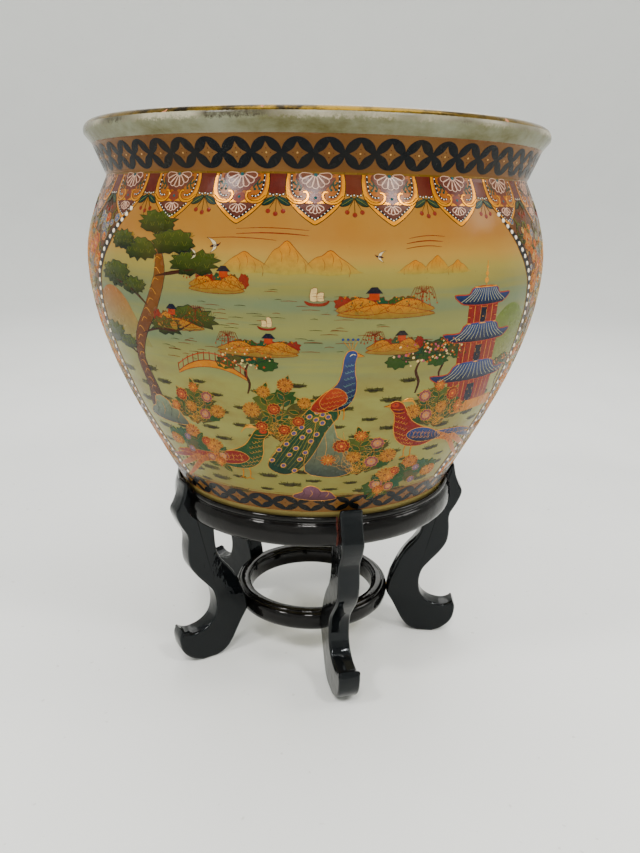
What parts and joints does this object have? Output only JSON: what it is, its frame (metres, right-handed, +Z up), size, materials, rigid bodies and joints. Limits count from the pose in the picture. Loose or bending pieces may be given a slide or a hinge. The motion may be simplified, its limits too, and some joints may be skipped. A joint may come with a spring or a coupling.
{
  "type": "jardiniere on stand",
  "caption": "Round-bellied porcelain fishbowl jardiniere with a flared rim, standing loose in the moulded ring of a low black-lacquered wooden stand with curved legs.",
  "frame": {"origin": "on the floor under the middle of the stand, which is also the middle of the pot", "axes": "+Z up along the axis of the pot and the rings; -Y through leg_1, the front leg"},
  "size_m": [0.3096, 0.3096, 0.3748],
  "materials": {
    "decorated_porcelain": "gloss glaze with overglaze enamels and gilding",
    "black_lacquer": "gloss black-brown lacquer over carved hardwood",
    "bare_dowel": "unfinished hardwood dowel"
  },
  "bodies": {
    "stand": {"leg_1": "black_lacquer", "leg_2": "black_lacquer", "leg_3": "black_lacquer", "leg_4": "black_lacquer", "leg_5": "black_lacquer", "top_ring_segment_1": "black_lacquer", "top_ring_segment_2": "black_lacquer", "top_ring_segment_3": "black_lacquer", "top_ring_segment_4": "black_lacquer", "top_ring_segment_5": "black_lacquer", "lower_ring": "black_lacquer", "ring_dowel_1": "bare_dowel", "ring_dowel_2": "bare_dowel", "ring_dowel_3": "bare_dowel", "ring_dowel_4": "bare_dowel", "ring_dowel_5": "bare_dowel", "knee_dowel_1": "bare_dowel", "knee_dowel_2": "bare_dowel", "knee_dowel_3": "bare_dowel", "knee_dowel_4": "bare_dowel", "knee_dowel_5": "bare_dowel"},
    "jardiniere": {"jardiniere": "decorated_porcelain"}
  },
  "joints": [
    {"name": "jardiniere_lift", "type": "slide", "parent": "stand", "child": "jardiniere", "axis": [0, 0, 1], "range_m": [0, 0.08]}
  ]
}
